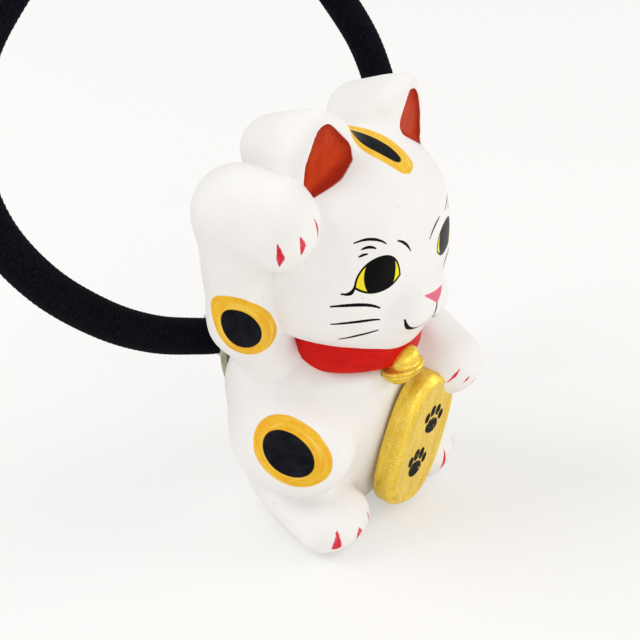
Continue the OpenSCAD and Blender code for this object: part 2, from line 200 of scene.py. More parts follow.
raisedArmForm = {
    "upper": [((-9, 3, 21.6), (6.6, 6.4, 6.6)), ((-12.3, 2.5, 26.5), (8.0, 6.6, 7.8))],
    "fore": [((-12.3, 2.5, 26.5), (8.0, 6.6, 7.8)), ((-14.1, 2.5, 37.4), (7.2, 6.5, 8.8))],
    "paw": [((-13.8, 1.3, 38.4), (9.0, 9.7, 8.8)), ((-12.9, -2.1, 37.4), (8.6, 7.6, 9.0))],
    "soft": {"fore": 1.5, "paw": 1.4}, "fillet": {"body": 1.5, "head": 0.25},
    "low": (-20, -9, 15), "high": (-4, 8.5, 44),
}
plateArmForm = {
    "arm": [((9.8, -1, 18.4), (8.4, 9.4, 8.4)), ((8.2, -8.5, 15.95), (8.4, 8.0, 7.4))],
    "fillet": {"body": 1.2},
    "low": (3, -14, 11), "high": (16, 5, 24),
}
formStep = 0.3  # mm between the field's samples
formBlur = 0.9  # in samples
nearSurface = 2.2  # mm, where distances are worked out finely
batch = 6000  # points measured at a time
filletShare = 0.85  # how far a fillet may swell an arm
skinGap = 0.015  # mm taken off an arm, so that no two skins coincide


def spreadDirections(count):
    i = np.arange(count) + 0.5
    z = 1 - 2 * i / count
    turn = math.pi * (1 + 5**0.5) * i
    ring = np.sqrt(1 - z * z)
    return np.stack([ring * np.cos(turn), ring * np.sin(turn), z], 1).astype(np.float32)


fineDirections = spreadDirections(1000)
roughDirections = spreadDirections(110)


def planeDistance(points, lumps, directions):
    reach = np.max([
        directions @ np.array(c, np.float32) + np.linalg.norm(directions * np.array(s, np.float32) / 2, axis=1)
        for c, s in lumps], axis=0)
    distance = np.empty(len(points), np.float32)
    for i in range(0, len(points), batch):
        distance[i:i + batch] = (points[i:i + batch] @ directions.T - reach).max(axis=1)
    return distance


# signed distance to the hull of some lumps: by its box far off, and fine near its surface only
def hullDistance(points, lumps):
    middles = np.array([c for c, _ in lumps], np.float32)
    halves = np.array([s for _, s in lumps], np.float32) / 2
    low, high = (middles - halves).min(axis=0), (middles + halves).max(axis=0)
    distance = np.linalg.norm(np.maximum(np.maximum(low - points, points - high), 0), axis=1)
    near = np.flatnonzero(distance < nearSurface)
    distance[near] = planeDistance(points[near], lumps, roughDirections)
    near = near[np.abs(distance[near]) < nearSurface]
    distance[near] = planeDistance(points[near], lumps, fineDirections)
    return distance


def join(a, b, soft):
    h = np.maximum(soft - np.abs(a - b), 0) / soft
    return np.minimum(a, b) - h * h * soft / 4


def carve(a, b, soft):
    return -join(-a, b, soft)


def mirrored(lumps):
    return [((-c[0], c[1], c[2]), s) for c, s in lumps]


# how far a point lies outside the rim of the ear hollow, seen from the front
def hollowEdge(p):
    form = headForm
    turn = np.linspace(0, 2 * np.pi, 72, endpoint=False)
    way = np.stack([np.cos(turn), np.sin(turn)], 1)
    edge = np.full(len(p), 1.0)
    for side, discs in form["hollow"].items():
        discs = np.array(discs)
        rim = (way @ discs[:, :2].T + discs[:, 2]).max(1)
        near = np.flatnonzero((p[:, 0] * side > 0) & (p[:, 1] < form["earMid"]) & (p[:, 2] > form["earFrom"]))
        flat = np.stack([p[near, 0] * side, p[near, 2]], 1)
        edge[near] = (flat @ way.T - rim).max(1)
    return edge


def headDistance(p):
    form, soft = headForm, headForm["soft"]
    # the forehead is a little flat between the eyes
    d = carve(hullDistance(p, form["skull"]), p[:, 1] - form["browY"], soft["brow"])
    d = join(d, hullDistance(p, form["muzzle"]), soft["muzzle"])
    for flip in (list, mirrored):
        for part in ("pad", "ear"):
            d = join(d, hullDistance(p, flip(form[part])), soft[part])
    return d + form["hollowDeep"] * np.clip(-hollowEdge(p) / form["hollowWall"], 0, 1)


def bodyDistance(p):
    form = bodyForm
    d = hullDistance(p, form["torso"])
    for flip in (list, mirrored):
        for part, soft in form["soft"].items():
            d = join(d, hullDistance(p, flip(form[part])), soft)
    d = np.maximum(d, p[:, 1] - form["backY"])
    return np.maximum(d, -p[:, 2])


def raisedArmDistance(p):
    form = raisedArmForm
    d = hullDistance(p, form["upper"])
    for part, soft in form["soft"].items():
        d = join(d, hullDistance(p, form[part]), soft)
    return d


def plateArmDistance(p):
    return hullDistance(p, plateArmForm["arm"])


# an arm runs into what it is glued to with a small fillet
def withFillet(points, own, fillets):
    near = np.flatnonzero(own < 2)
    d = own.copy()
    for name, fillet in fillets.items():
        other = {"body": bodyDistance, "head": headDistance}[name]
        grown = join(own[near], other(points[near]), fillet)
        d[near] = np.minimum(d[near], np.maximum(grown, own[near] - filletShare * fillet))
    return d + skinGap


def soften(field, cells):
    reach = int(math.ceil(2.5 * cells))
    weights = np.exp(-0.5 * (np.arange(-reach, reach + 1) / cells)**2)
    weights /= weights.sum()
    for axis in range(3):
        padding = [(reach, reach) if i == axis else (0, 0) for i in range(3)]
        wide = np.pad(field, padding, mode="edge")
        count = field.shape[axis]
        field = sum(w * np.take(wide, np.arange(k, k + count), axis=axis) for k, w in enumerate(weights))
    return field.astype(np.float32)


def fieldAt(field, points):
    top = np.array(field.shape) - 2
    cell = np.clip(np.floor(points).astype(int), 0, top)
    f = points - cell
    total = 0
    for corner in range(8):
        step = np.array([corner >> 2 & 1, corner >> 1 & 1, corner & 1])
        weight = np.prod(np.where(step == 1, f, 1 - f), axis=1)
        at = cell + step
        total = total + weight * field[at[:, 0], at[:, 1], at[:, 2]]
    return total


# skin of a field, slid onto its zero surface
def skinField(field):
    volume = openvdb.FloatGrid(3.0)
    volume.copyFromArray(field)
    points, quads = volume.convertToQuads(isovalue=0.0)
    points = np.array(points, float)
    for _ in range(3):
        value = fieldAt(field, points)
        slope = np.stack([
            (fieldAt(field, points + 0.5 * axis) - fieldAt(field, points - 0.5 * axis)) for axis in np.eye(3)], 1)
        points -= slope * (value / np.maximum((slope**2).sum(1), 0.05))[:, None] * 0.8
    return points, quads


def makeForm(name, form, distance, node):
    low = np.array(form["low"], np.float32)
    counts = np.ceil((np.array(form["high"]) - low) / formStep).astype(int) + 1
    axes = [low[i] + np.arange(counts[i]) * formStep for i in range(3)]
    samples = np.stack(np.meshgrid(*axes, indexing="ij"), -1).reshape(-1, 3).astype(np.float32)
    values = distance(samples)
    if "fillet" in form:
        values = withFillet(samples, values, form["fillet"])
    field = soften(values.reshape(counts) / formStep, formBlur)
    points, quads = skinField(field)
    piece = addMesh(name, (low + points * formStep) * mm, quads, "cat", "white_vinyl", node)
    print(name, "skinned:", len(quads), "faces")
    return piece


whiteHead = makeForm("white_head", headForm, headDistance, "head")
whiteBody = makeForm("white_body", bodyForm, bodyDistance, "body")
raisedArm = makeForm("raised_arm_skin", raisedArmForm, raisedArmDistance, "raised_arm")
plateArm = makeForm("plate_arm_skin", plateArmForm, plateArmDistance, "plate_arm")


# shader helpers: every argument may be a number, a tuple or another node's socket
def feed(tree, socket, value):
    if isinstance(value, bpy.types.NodeSocket):
        tree.links.new(value, socket)
    else:
        socket.default_value = value


def calc(tree, operation, a, b=0.0, c=0.0, clamp=False):
    node = tree.nodes.new("ShaderNodeMath")
    node.operation = operation
    node.use_clamp = clamp
    for socket, value in zip(node.inputs, (a, b, c)):
        feed(tree, socket, value)
    return node.outputs[0]


def vectorCalc(tree, operation, a, b=(0, 0, 0), scale=1.0):
    node = tree.nodes.new("ShaderNodeVectorMath")
    node.operation = operation
    feed(tree, node.inputs[0], a)
    if operation == "SCALE":
        feed(tree, node.inputs["Scale"], scale)
    elif operation != "LENGTH":
        feed(tree, node.inputs[1], b)
    return node.outputs["Value"] if operation in ("DOT_PRODUCT", "LENGTH") else node.outputs["Vector"]


def rangeOf(tree, value, low, high, start=0.0, end=1.0):
    node = tree.nodes.new("ShaderNodeMapRange")
    node.interpolation_type = "SMOOTHSTEP"
    for name, number in (("Value", value), ("From Min", low), ("From Max", high), ("To Min", start), ("To Max", end)):
        feed(tree, node.inputs[name], number)
    return node.outputs["Result"]


def mixColor(tree, factor, a, b):
    node = tree.nodes.new("ShaderNodeMix")
    node.data_type = "RGBA"
    for key, value in ((0, factor), (6, a), (7, b)):
        feed(tree, node.inputs[key], value)
    return node.outputs[2]


def noise(tree, place, scale, detail=3.0, rough=0.5):
    node = tree.nodes.new("ShaderNodeTexNoise")
    for name, value in (("Vector", place), ("Scale", scale), ("Detail", detail), ("Roughness", rough)):
        feed(tree, node.inputs[name], value)
    return node.outputs["Fac"]


# a small unevenness either way
def shakeOf(tree, place, scale, detail, amount):
    return calc(tree, "MULTIPLY", calc(tree, "SUBTRACT", noise(tree, place, scale, detail), 0.5), amount)


def cells(tree, place, scale):
    node = tree.nodes.new("ShaderNodeTexVoronoi")
    feed(tree, node.inputs["Vector"], place)
    feed(tree, node.inputs["Scale"], scale)
    return node.outputs


# where a point is on its piece, in mm
def placeInMm(tree):
    node = tree.nodes.new("ShaderNodeTexCoord")
    return vectorCalc(tree, "SCALE", node.outputs["Object"], scale=1000.0)


def newGroup(name, inputs, outputs):
    tree = bpy.data.node_groups.new(name, "ShaderNodeTree")
    kinds = {"f": "NodeSocketFloat", "v": "NodeSocketVector", "c": "NodeSocketColor"}
    for label, kind in inputs:
        tree.interface.new_socket(label, in_out="INPUT", socket_type=kinds[kind])
    for label, kind in outputs:
        tree.interface.new_socket(label, in_out="OUTPUT", socket_type=kinds[kind])
    return tree, tree.nodes.new("NodeGroupInput").outputs, tree.nodes.new("NodeGroupOutput").inputs


def useGroup(tree, group, **values):
    node = tree.nodes.new("ShaderNodeGroup")
    node.node_tree = group
    for label, value in values.items():
        feed(tree, node.inputs[label], value)
    return node.outputs


# cast resin: soft unevenness, fine grain and a few sunk pinholes
def makeResinSkin():
    tree, given, out = newGroup("resinSkin", [("Pinholes", "f")], [("Height", "f"), ("Tone", "f"), ("Pit", "f")])
    place = placeInMm(tree)
    wave = noise(tree, place, 0.22, 2)
    grain = noise(tree, place, 5.5, 3, 0.6)
    spots = cells(tree, place, 0.55)
    rare = calc(tree, "GREATER_THAN", noise(tree, place, 0.9, 1), 0.56)
    pit = calc(tree, "MULTIPLY", rangeOf(tree, spots["Distance"], 0.035, 0.075, 1, 0), rare)
    pit = calc(tree, "MULTIPLY", pit, given["Pinholes"])
    height = calc(tree, "MULTIPLY_ADD", wave, 0.9, calc(tree, "MULTIPLY", grain, 0.05))
    tree.links.new(calc(tree, "SUBTRACT", height, calc(tree, "MULTIPLY", pit, 0.25)), out["Height"])
    tree.links.new(calc(tree, "MULTIPLY_ADD", grain, 0.35, calc(tree, "MULTIPLY", wave, 0.65)), out["Tone"])
    tree.links.new(pit, out["Pit"])
    return tree


# reach of a point from the middle of an oval spot, 1 at its hand-painted edge
def makePaintOval():
    tree, given, out = newGroup(
        "paintOval",
        [("Place", "v"), ("Middle", "v"), ("Long", "v"), ("Short", "v"), ("Deep", "v"), ("Wobble", "f"),
         ("Fullness", "f")],
        [("Reach", "f")])
    away = vectorCalc(tree, "SUBTRACT", given["Place"], given["Middle"])
    total = None
    for label in ("Long", "Short", "Deep"):
        part = calc(tree, "ABSOLUTE", vectorCalc(tree, "DOT_PRODUCT", away, given[label]))
        part = calc(tree, "POWER", part, given["Fullness"])
        total = part if total is None else calc(tree, "ADD", total, part)
    reach = calc(tree, "POWER", total, calc(tree, "DIVIDE", 1.0, given["Fullness"]))
    shake = shakeOf(tree, given["Place"], 0.35, 1, given["Wobble"])
    tree.links.new(calc(tree, "ADD", reach, shake), out["Reach"])
    return tree


# a brush or pen stroke between two points of a flat chart, bent sideways and thin at both ends
def makePenStroke():
    tree, given, out = newGroup(
        "penStroke", [("Place", "v"), ("Start", "v"), ("End", "v"), ("Bend", "f"), ("Thick", "f")], [("Cover", "f")])
    fromStart = vectorCalc(tree, "SUBTRACT", given["Place"], given["Start"])
    whole = vectorCalc(tree, "SUBTRACT", given["End"], given["Start"])
    length = vectorCalc(tree, "LENGTH", whole)
    square = calc(tree, "MULTIPLY", length, length)
    along = calc(tree, "DIVIDE", vectorCalc(tree, "DOT_PRODUCT", fromStart, whole), square)
    inside = calc(tree, "ADD", along, 0.0, clamp=True)
    over = calc(tree, "MULTIPLY", calc(tree, "SUBTRACT", along, inside), length)
    turned = vectorCalc(tree, "CROSS_PRODUCT", whole, fromStart)
    across = calc(tree, "DIVIDE", vectorCalc(tree, "DOT_PRODUCT", turned, (0, 0, 1)), length)
    arch = calc(tree, "MULTIPLY", calc(tree, "MULTIPLY", inside, calc(tree, "SUBTRACT", 1.0, inside)), 4.0)
    off = calc(tree, "SUBTRACT", across, calc(tree, "MULTIPLY", arch, given["Bend"]))
    gap = calc(tree, "SQRT", calc(tree, "ADD", calc(tree, "MULTIPLY", off, off), calc(tree, "MULTIPLY", over, over)))
    half = calc(tree, "MULTIPLY", given["Thick"], calc(tree, "MULTIPLY_ADD", arch, 0.25, 0.25))
    fray = shakeOf(tree, given["Place"], 4.0, 2, 0.08)
    edge = calc(tree, "ADD", calc(tree, "SUBTRACT", gap, half), fray)
    tree.links.new(rangeOf(tree, edge, -0.025, 0.035, 1, 0), out["Cover"])
    return tree


# a small dab of paint, drawn from a point out to its widest place and back to a point
def makeClawDab():
    tree, given, out = newGroup(
        "clawDab",
        [("Place", "v"), ("Root", "v"), ("Run", "v"), ("Side", "v"), ("Out", "v"), ("Left", "f"), ("Right", "f"),
         ("Peak", "f")],
        [("Cover", "f")])
    away = vectorCalc(tree, "SUBTRACT", given["Place"], given["Root"])
    along = vectorCalc(tree, "DOT_PRODUCT", away, given["Run"])
    across = vectorCalc(tree, "DOT_PRODUCT", away, given["Side"])
    rise = calc(tree, "DIVIDE", along, given["Peak"])
    fall = calc(tree, "DIVIDE", calc(tree, "SUBTRACT", 1.0, along), calc(tree, "SUBTRACT", 1.0, given["Peak"]))
    taper = calc(tree, "MAXIMUM", calc(tree, "MINIMUM", rise, fall), 0.0)
    spread = calc(
        tree, "MAXIMUM", calc(tree, "DIVIDE", across, given["Right"]),
        calc(tree, "DIVIDE", across, calc(tree, "MULTIPLY", given["Left"], -1.0)))
    fray = shakeOf(tree, given["Place"], 3.0, 2, 0.5)
    edge = calc(tree, "ADD", calc(tree, "SUBTRACT", spread, calc(tree, "POWER", taper, 0.8)), fray)
    near = calc(tree, "LESS_THAN", calc(tree, "ABSOLUTE", vectorCalc(tree, "DOT_PRODUCT", away, given["Out"])), 1.6)
    near = calc(tree, "MULTIPLY", near, rangeOf(tree, taper, 0.0, 0.12))
    tree.links.new(calc(tree, "MULTIPLY", rangeOf(tree, edge, -0.14, 0.14, 1, 0), near), out["Cover"])
    return tree


# paint laid on by brush: two tones in drawn-out streaks
def makeBrushPaint():
    tree, given, out = newGroup(
        "brushPaint", [("Place", "v"), ("Drag", "v"), ("Thick", "c"), ("Thin", "c")], [("Color", "c"), ("Height", "f")])
    drawn = vectorCalc(tree, "MULTIPLY", given["Place"], given["Drag"])
    streak = noise(tree, drawn, 1.0, 4, 0.6)
    patch = noise(tree, given["Place"], 0.5, 2)
    amount = calc(tree, "MULTIPLY_ADD", streak, 0.7, calc(tree, "MULTIPLY", patch, 0.3))
    tree.links.new(mixColor(tree, rangeOf(tree, amount, 0.36, 0.66), given["Thick"], given["Thin"]), out["Color"])
    tree.links.new(streak, out["Height"])
    return tree


# metallic gold paint: fine bright flakes over a bed brushed thicker and thinner
goldTones = {"thick": (0.89, 0.62, 0.05, 1), "thin": (0.76, 0.48, 0.028, 1), "flake": (0.99, 0.83, 0.3, 1)}


def makeGoldFlake():
    tree, given, out = newGroup(
        "goldFlake", [("Place", "v"), ("Drawn", "v"), ("Flake", "f")],
        [("Color", "c"), ("Rough", "f"), ("Height", "f")])
    flake = cells(tree, given["Place"], given["Flake"])
    glint = tree.nodes.new("ShaderNodeSeparateColor")
    tree.links.new(flake["Color"], glint.inputs[0])
    streak = noise(tree, given["Drawn"], 1.0, 3)
    bed = mixColor(tree, rangeOf(tree, streak, 0.34, 0.68), goldTones["thick"], goldTones["thin"])
    bright = rangeOf(tree, glint.outputs[0], 0.7, 1.0, 0.0, 0.8)
    tree.links.new(mixColor(tree, bright, bed, goldTones["flake"]), out["Color"])
    tree.links.new(rangeOf(tree, glint.outputs[1], 0, 1, 0.28, 0.42), out["Rough"])
    tree.links.new(calc(tree, "MULTIPLY_ADD", glint.outputs[2], 0.16, streak), out["Height"])
    return tree


# yarn of the elastic's cover: dark bundles with paler hairs
yarnTones = {"deep": (0.0016, 0.0019, 0.0032, 1), "strand": (0.0065, 0.0075, 0.012, 1), "hair": (0.026, 0.03, 0.042, 1)}


def makeYarnCover():
    tree, given, out = newGroup("yarnCover", [("Place", "v")], [("Color", "c"), ("Height", "f")])
    strand = noise(tree, given["Place"], 3.4, 4, 0.7)
    hair = noise(tree, given["Place"], 11.0, 2, 0.6)
    base = mixColor(tree, rangeOf(tree, strand, 0.38, 0.68), yarnTones["deep"], yarnTones["strand"])
    tree.links.new(mixColor(tree, rangeOf(tree, hair, 0.63, 0.8), base, yarnTones["hair"]), out["Color"])
    tree.links.new(calc(tree, "MULTIPLY_ADD", hair, 0.5, strand), out["Height"])
    return tree


# drawn metal: fine scratches and a dull film
def makeDrawnMetal():
    tree, given, out = newGroup(
        "drawnMetal", [("Clean", "c"), ("Dull", "c")], [("Color", "c"), ("Rough", "f"), ("Height", "f")])
    place = placeInMm(tree)
    scratch = noise(tree, vectorCalc(tree, "MULTIPLY", place, (0.6, 6.0, 6.0)), 1.5, 3)
    film = noise(tree, place, 0.6, 3)
    tree.links.new(mixColor(tree, rangeOf(tree, film, 0.35, 0.7), given["Clean"], given["Dull"]), out["Color"])
    rub = calc(tree, "MULTIPLY_ADD", scratch, 0.5, calc(tree, "MULTIPLY", film, 0.5))
    tree.links.new(rangeOf(tree, rub, 0.3, 0.7, 0.3, 0.5), out["Rough"])
    tree.links.new(scratch, out["Height"])
    return tree


resinSkin = makeResinSkin()
paintOval = makePaintOval()
penStroke = makePenStroke()
clawDab = makeClawDab()
brushPaint = makeBrushPaint()
goldFlake = makeGoldFlake()
yarnCover = makeYarnCover()
drawnMetal = makeDrawnMetal()

paints = {
    "white": (0.885, 0.877, 0.866, 1), "warmWhite": (0.86, 0.846, 0.83, 1), "pit": (0.22, 0.19, 0.17, 1),
    "orange": (0.86, 0.50, 0.035, 1), "deepOrange": (0.83, 0.41, 0.022, 1),
    "paleOrange": (0.90, 0.64, 0.12, 1), "yellow": (0.88, 0.57, 0.065, 1), "deepYellow": (0.84, 0.45, 0.03, 1),
    "black": (0.0035, 0.004, 0.0065, 1), "dryBlack": (0.010, 0.0115, 0.016, 1),
    # the last ear red is darker, painted as shade on the wall of the ear hollow
    "earRed": (0.55, 0.052, 0.011, 1), "earDeep": (0.43, 0.03, 0.008, 1), "earWallShade": (0.30, 0.015, 0.005, 1),
    "claw": (0.66, 0.018, 0.045, 1), "clawThin": (0.74, 0.10, 0.12, 1),
    "line": (0.0018, 0.0018, 0.0022, 1), "eyeYellow": (0.87, 0.75, 0.03, 1), "nose": (0.76, 0.17, 0.25, 1),
}


def newMaterial(name):
    material = bpy.data.materials.new(name)
    material.use_nodes = True
    return material, material.node_tree, material.node_tree.nodes["Principled BSDF"]


def bumpInto(tree, shader, height, strength, distance):
    bump = tree.nodes.new("ShaderNodeBump")
    bump.inputs["Strength"].default_value = strength
    bump.inputs["Distance"].default_value = distance * mm
    tree.links.new(height, bump.inputs["Height"])
    tree.links.new(bump.outputs[0], shader.inputs["Normal"])


def wear(piece, material):
    piece.data.materials.clear()
    piece.data.materials.append(material)


# bare white resin, which the painted pieces start from
def startResin(name, pinholes):
    material, tree, shader = newMaterial(name)
    place = placeInMm(tree)
    skin = useGroup(tree, resinSkin, Pinholes=pinholes)
    color = mixColor(tree, rangeOf(tree, skin["Tone"], 0.35, 0.65), paints["white"], paints["warmWhite"])
    # the pinholes are coloured dark: painted shade inside them
    color = mixColor(tree, skin["Pit"], color, paints["pit"])
    return {
        "material": material, "tree": tree, "shader": shader, "place": place, "skin": skin, "color": color,
        "paint": None}


# lays one more coat over what is there; gloss follows the coats
def layCoat(w, cover, color):
    w["color"] = mixColor(w["tree"], cover, w["color"], color)
    w["paint"] = cover if w["paint"] is None else calc(w["tree"], "MAXIMUM", w["paint"], cover)


def finishResin(w):
    tree, shader = w["tree"], w["shader"]
    tree.links.new(w["color"], shader.inputs["Base Color"])
    matt = rangeOf(tree, w["skin"]["Tone"], 0.3, 0.7, 0.44, 0.56)
    tree.links.new(rangeOf(tree, w["paint"], 0, 1, matt, 0.34), shader.inputs["Roughness"])
    shader.inputs["Specular IOR Level"].default_value = 0.05
    bumpInto(tree, shader, w["skin"]["Height"], 0.35, 0.12)
    return w["material"]


def scaledAxis(axis, radius):
    return tuple(v / radius for v in axis)


# two named paints brushed on in streaks
def brushed(w, drag, thick, thin):
    return useGroup(
        w["tree"], brushPaint, Place=w["place"], Drag=drag, Thick=paints[thick], Thin=paints[thin])["Color"]


# orange spot with a black middle, given as two ovals
def paintSpot(w, spot):
    tree = w["tree"]
    reach = {}
    for label in ("orange", "black"):
        o = spot[label]
        reach[label] = useGroup(
            tree, paintOval, Place=w["place"], Middle=o["middle"], Long=scaledAxis(spot["long"], o["radii"][0]),
            Short=scaledAxis(spot["short"], o["radii"][1]), Deep=scaledAxis(spot["deep"], spot["depth"]),
            Wobble=spot["wobble"], Fullness=spot["fullness"])["Reach"]
    orange = brushed(w, spot["drag"], *spot["paint"])
    # the brush went round the spot, and left paler rings
    ring = tree.nodes.new("ShaderNodeCombineXYZ")
    tree.links.new(calc(tree, "MULTIPLY", reach["orange"], 9.0), ring.inputs[0])
    for i, axis in enumerate(("long", "short")):
        along = vectorCalc(tree, "DOT_PRODUCT", w["place"], spot[axis])
        tree.links.new(calc(tree, "MULTIPLY", along, 0.22), ring.inputs[i + 1])
    pale = rangeOf(tree, noise(tree, ring.outputs[0], 1.0, 3), 0.48, 0.72, 0, 0.85)
    orange = mixColor(tree, pale, orange, paints["paleOrange"])
    black = brushed(w, spot["drag"], "black", "dryBlack")
    layCoat(w, rangeOf(tree, reach["orange"], 0.985, 1.015, 1, 0), orange)
    layCoat(w, rangeOf(tree, reach["black"], 0.975, 1.02, 1, 0), black)


# claws: crimson dabs, each from root to tip with the way it faces, its reach to either side and where it is widest
def paintClaws(w, dabs):
    tree = w["tree"]
    red = brushed(w, (2.5, 2.5, 0.6), "claw", "clawThin")
    for root, tip, facing, left, right, peak in dabs:
        run = np.array(tip, float) - np.array(root, float)
        side = np.cross(facing, run)
        side /= np.linalg.norm(side)
        out = np.cross(run, side)
        out /= np.linalg.norm(out)
        cover = useGroup(
            tree, clawDab, Place=w["place"], Root=root, Run=tuple(run / (run @ run)), Side=tuple(side), Out=tuple(out),
            Left=left, Right=right, Peak=peak)["Cover"]
        layCoat(w, cover, red)


haunchSpot = {
    "long": (-0.231, 0.802, 0.551), "short": (0.479, -0.399, 0.782), "deep": (0.847, 0.444, -0.292), "depth": 6.0,
    "orange": {"middle": (-13.2, -3.7, 13.1), "radii": (4.43, 3.34)},
    "black": {"middle": (-13.6, -3.6, 13.1), "radii": (2.95, 2.1)},
    "wobble": 0.1, "fullness": 2.0, "paint": ("orange", "deepOrange"), "drag": (1.6, 0.7, 1.6),
}
elbowSpot = {
    "long": (0.488, -0.381, -0.785), "short": (-0.306, 0.768, -0.562), "deep": (0.818, 0.514, 0.259), "depth": 6.0,
    "orange": {"middle": (-14.9, 0.7, 27.1), "radii": (4.13, 2.5)},
    "black": {"middle": (-15.5, 0.5, 26.9), "radii": (2.48, 1.58)},
    "wobble": 0.1, "fullness": 2.0, "paint": ("orange", "deepOrange"), "drag": (1.6, 1.6, 0.6),
}
crownSpot = {
    "long": (0.32, -0.81, -0.492), "short": (0.948, 0.268, 0.175), "deep": (0.01, 0.522, -0.853), "depth": 7.0,
    "orange": {"middle": (-0.9, -3.95, 42.7), "radii": (5.15, 2.0)},
    "black": {"middle": (-1.25, -3.7, 42.9), "radii": (4.15, 1.0)},
    "wobble": 0.16, "fullness": 2.6, "paint": ("yellow", "deepYellow"), "drag": (2.0, 0.6, 1.0),
}
claws = {
    "body": [
        ((-11.32, -7.97, 4.4), (-11.4, -8.0, 1.9), (-0.45, -0.85, 0), 0.58, 0.6, 0.92),
        ((-8.64, -8.94, 3.56), (-8.95, -8.78, 2.06), (0, -1, 0), 0.14, 0.85, 0.5),
        ((-6.4, -8.5, 4.1), (-6.3, -8.5, 2.7), (0.4, -0.9, 0), 0.2, 0.22, 0.5),
        ((11.32, -7.97, 4.4), (11.4, -8.0, 2.2), (0.45, -0.85, 0), 0.4, 0.3, 0.7),
        ((8.47, -8.68, 4.4), (8.1, -8.5, 1.5), (0, -0.95, 0.1), 0.3, 0.5, 0.7),
        ((6.2, -8.4, 4.0), (6.0, -8.3, 2.4), (-0.4, -0.9, 0), 0.2, 0.3, 0.6)],
    "raised": [
        ((-16.1, -4.6, 37.3), (-15.2, -4.1, 34.5), (-0.62, -0.7, -0.35), 0.24, 0.6, 0.55),
        ((-14.2, -5.7, 37.7), (-13.65, -5.4, 35.45), (-0.2, -0.96, -0.15), 0.15, 0.58, 0.6),
        ((-12.0, -5.6, 38.7), (-10.95, -5.3, 36.05), (0.26, -0.95, 0), 0.18, 0.28, 0.5)],
    "plate": [
        ((6.0, -11.7, 16.95), (4.82, -10.7, 15.27), (-0.69, -0.72, 0.05), 0.15, 0.22, 0.45),
        ((7.15, -12.3, 15.75), (6.33, -11.9, 15.0), (-0.35, -0.92, -0.15), 0.18, 0.18, 0.5),
        ((8.4, -12.3, 14.85), (8.19, -11.65, 13.75), (0, -0.87, -0.46), 0.22, 0.22, 0.5)],
}

# face marks on a chart of the head: mm round from the mid-line, and height; both sides alike
face = {
    "axisY": -0.6, "roundness": 10.5,
    "eye": {"upper": (6.4, 30.9, 2.75), "lower": (6.4, 33.85, 4.05), "rim": 0.22, "pupil": (6.3, 31.75, 1.9, 2.5)},
    "nose": {"top": 28.45, "tip": 27.2, "slope": 0.78, "front": 9.0},
    # each stroke's two ends, its bend and its thickness
    "strokes": [
        ((9.05, 31.2), (10.2, 30.5), -0.42, 0.42), ((9.13, 35.4), (5.8, 34.75), -0.45, 0.28),
        ((8.42, 34.7), (7.0, 34.55), -0.18, 0.3), ((8.7, 34.0), (7.85, 34.15), -0.05, 0.26),
        ((4.2, 34.6), (2.0, 32.9), -0.22, 0.3), ((11.1, 29.3), (6.35, 28.05), -0.4, 0.36),
        ((11.1, 27.25), (6.3, 26.7), -0.12, 0.32), ((10.5, 24.8), (6.3, 25.4), -0.05, 0.28),
        ((0.0, 27.3), (0.0, 25.4), 0.0, 0.26), ((0.0, 25.45), (2.5, 25.0), -0.1, 0.17),
        ((1.9, 25.05), (3.85, 26.45), -0.55, 0.42)],
}


def paintHead(w):
    tree = w["tree"]
    paintSpot(w, crownSpot)
    hollow = tree.nodes.new("ShaderNodeAttribute")
    hollow.attribute_name = "hollowEdge"
    red = brushed(w, (1.2, 1.2, 0.5), "earRed", "earDeep")
    # the red turns darker towards the hollow's rim: painted shade of the hollow's wall
    red = mixColor(tree, rangeOf(tree, hollow.outputs["Fac"], -0.55, -0.1, 0, 0.75), red, paints["earWallShade"])
    layCoat(w, rangeOf(tree, hollow.outputs["Fac"], -0.02, 0.06, 1, 0), red)
    # chart of the face
    split = tree.nodes.new("ShaderNodeSeparateXYZ")
    tree.links.new(w["place"], split.inputs[0])
    x, y, z = split.outputs
    front = calc(tree, "SUBTRACT", face["axisY"], y)
    angle = calc(tree, "ARCTAN2", calc(tree, "ABSOLUTE", x), front)
    across = calc(tree, "MULTIPLY", angle, face["roundness"])
    chart = tree.nodes.new("ShaderNodeCombineXYZ")
    tree.links.new(across, chart.inputs[0])
    tree.links.new(z, chart.inputs[1])
    chart = chart.outputs[0]
    # eye: the part two circles share, yellow with a dark rim and a wide pupil
    eye = face["eye"]

    def fromCircle(c):
        away = vectorCalc(tree, "SUBTRACT", chart, (c[0], c[1], 0))
        return calc(tree, "SUBTRACT", vectorCalc(tree, "LENGTH", away), c[2])

    lens = calc(tree, "MAXIMUM", fromCircle(eye["upper"]), fromCircle(eye["lower"]))
    px, py, width, height = eye["pupil"]
    away = vectorCalc(tree, "SUBTRACT", chart, (px, py, 0))
    pupil = vectorCalc(tree, "LENGTH", vectorCalc(tree, "DIVIDE", away, (width, height, 1)))
    layCoat(w, rangeOf(tree, lens, -0.03, 0.03, 1, 0), paints["line"])
    inside = rangeOf(tree, lens, -eye["rim"] - 0.03, -eye["rim"] + 0.03, 1, 0)
    yellow = calc(tree, "MULTIPLY", inside, rangeOf(tree, pupil, 0.985, 1.015))
    layCoat(w, yellow, paints["eyeYellow"])
    # nose
    nose = face["nose"]
    side = calc(tree, "SUBTRACT", calc(tree, "MULTIPLY_ADD", across, nose["slope"], nose["tip"]), z)
    edge = calc(tree, "SMOOTH_MAX", side, calc(tree, "SUBTRACT", z, nose["top"]), 0.25)
    facing = calc(tree, "GREATER_THAN", front, nose["front"])
    layCoat(w, calc(tree, "MULTIPLY", rangeOf(tree, edge, -0.03, 0.05, 1, 0), facing), paints["nose"])
    for start, end, bend, thick in face["strokes"]:
        stroke = useGroup(tree, penStroke, Place=chart, Start=start + (0,), End=end + (0,), Bend=bend, Thick=thick)
        layCoat(w, stroke["Cover"], paints["line"])


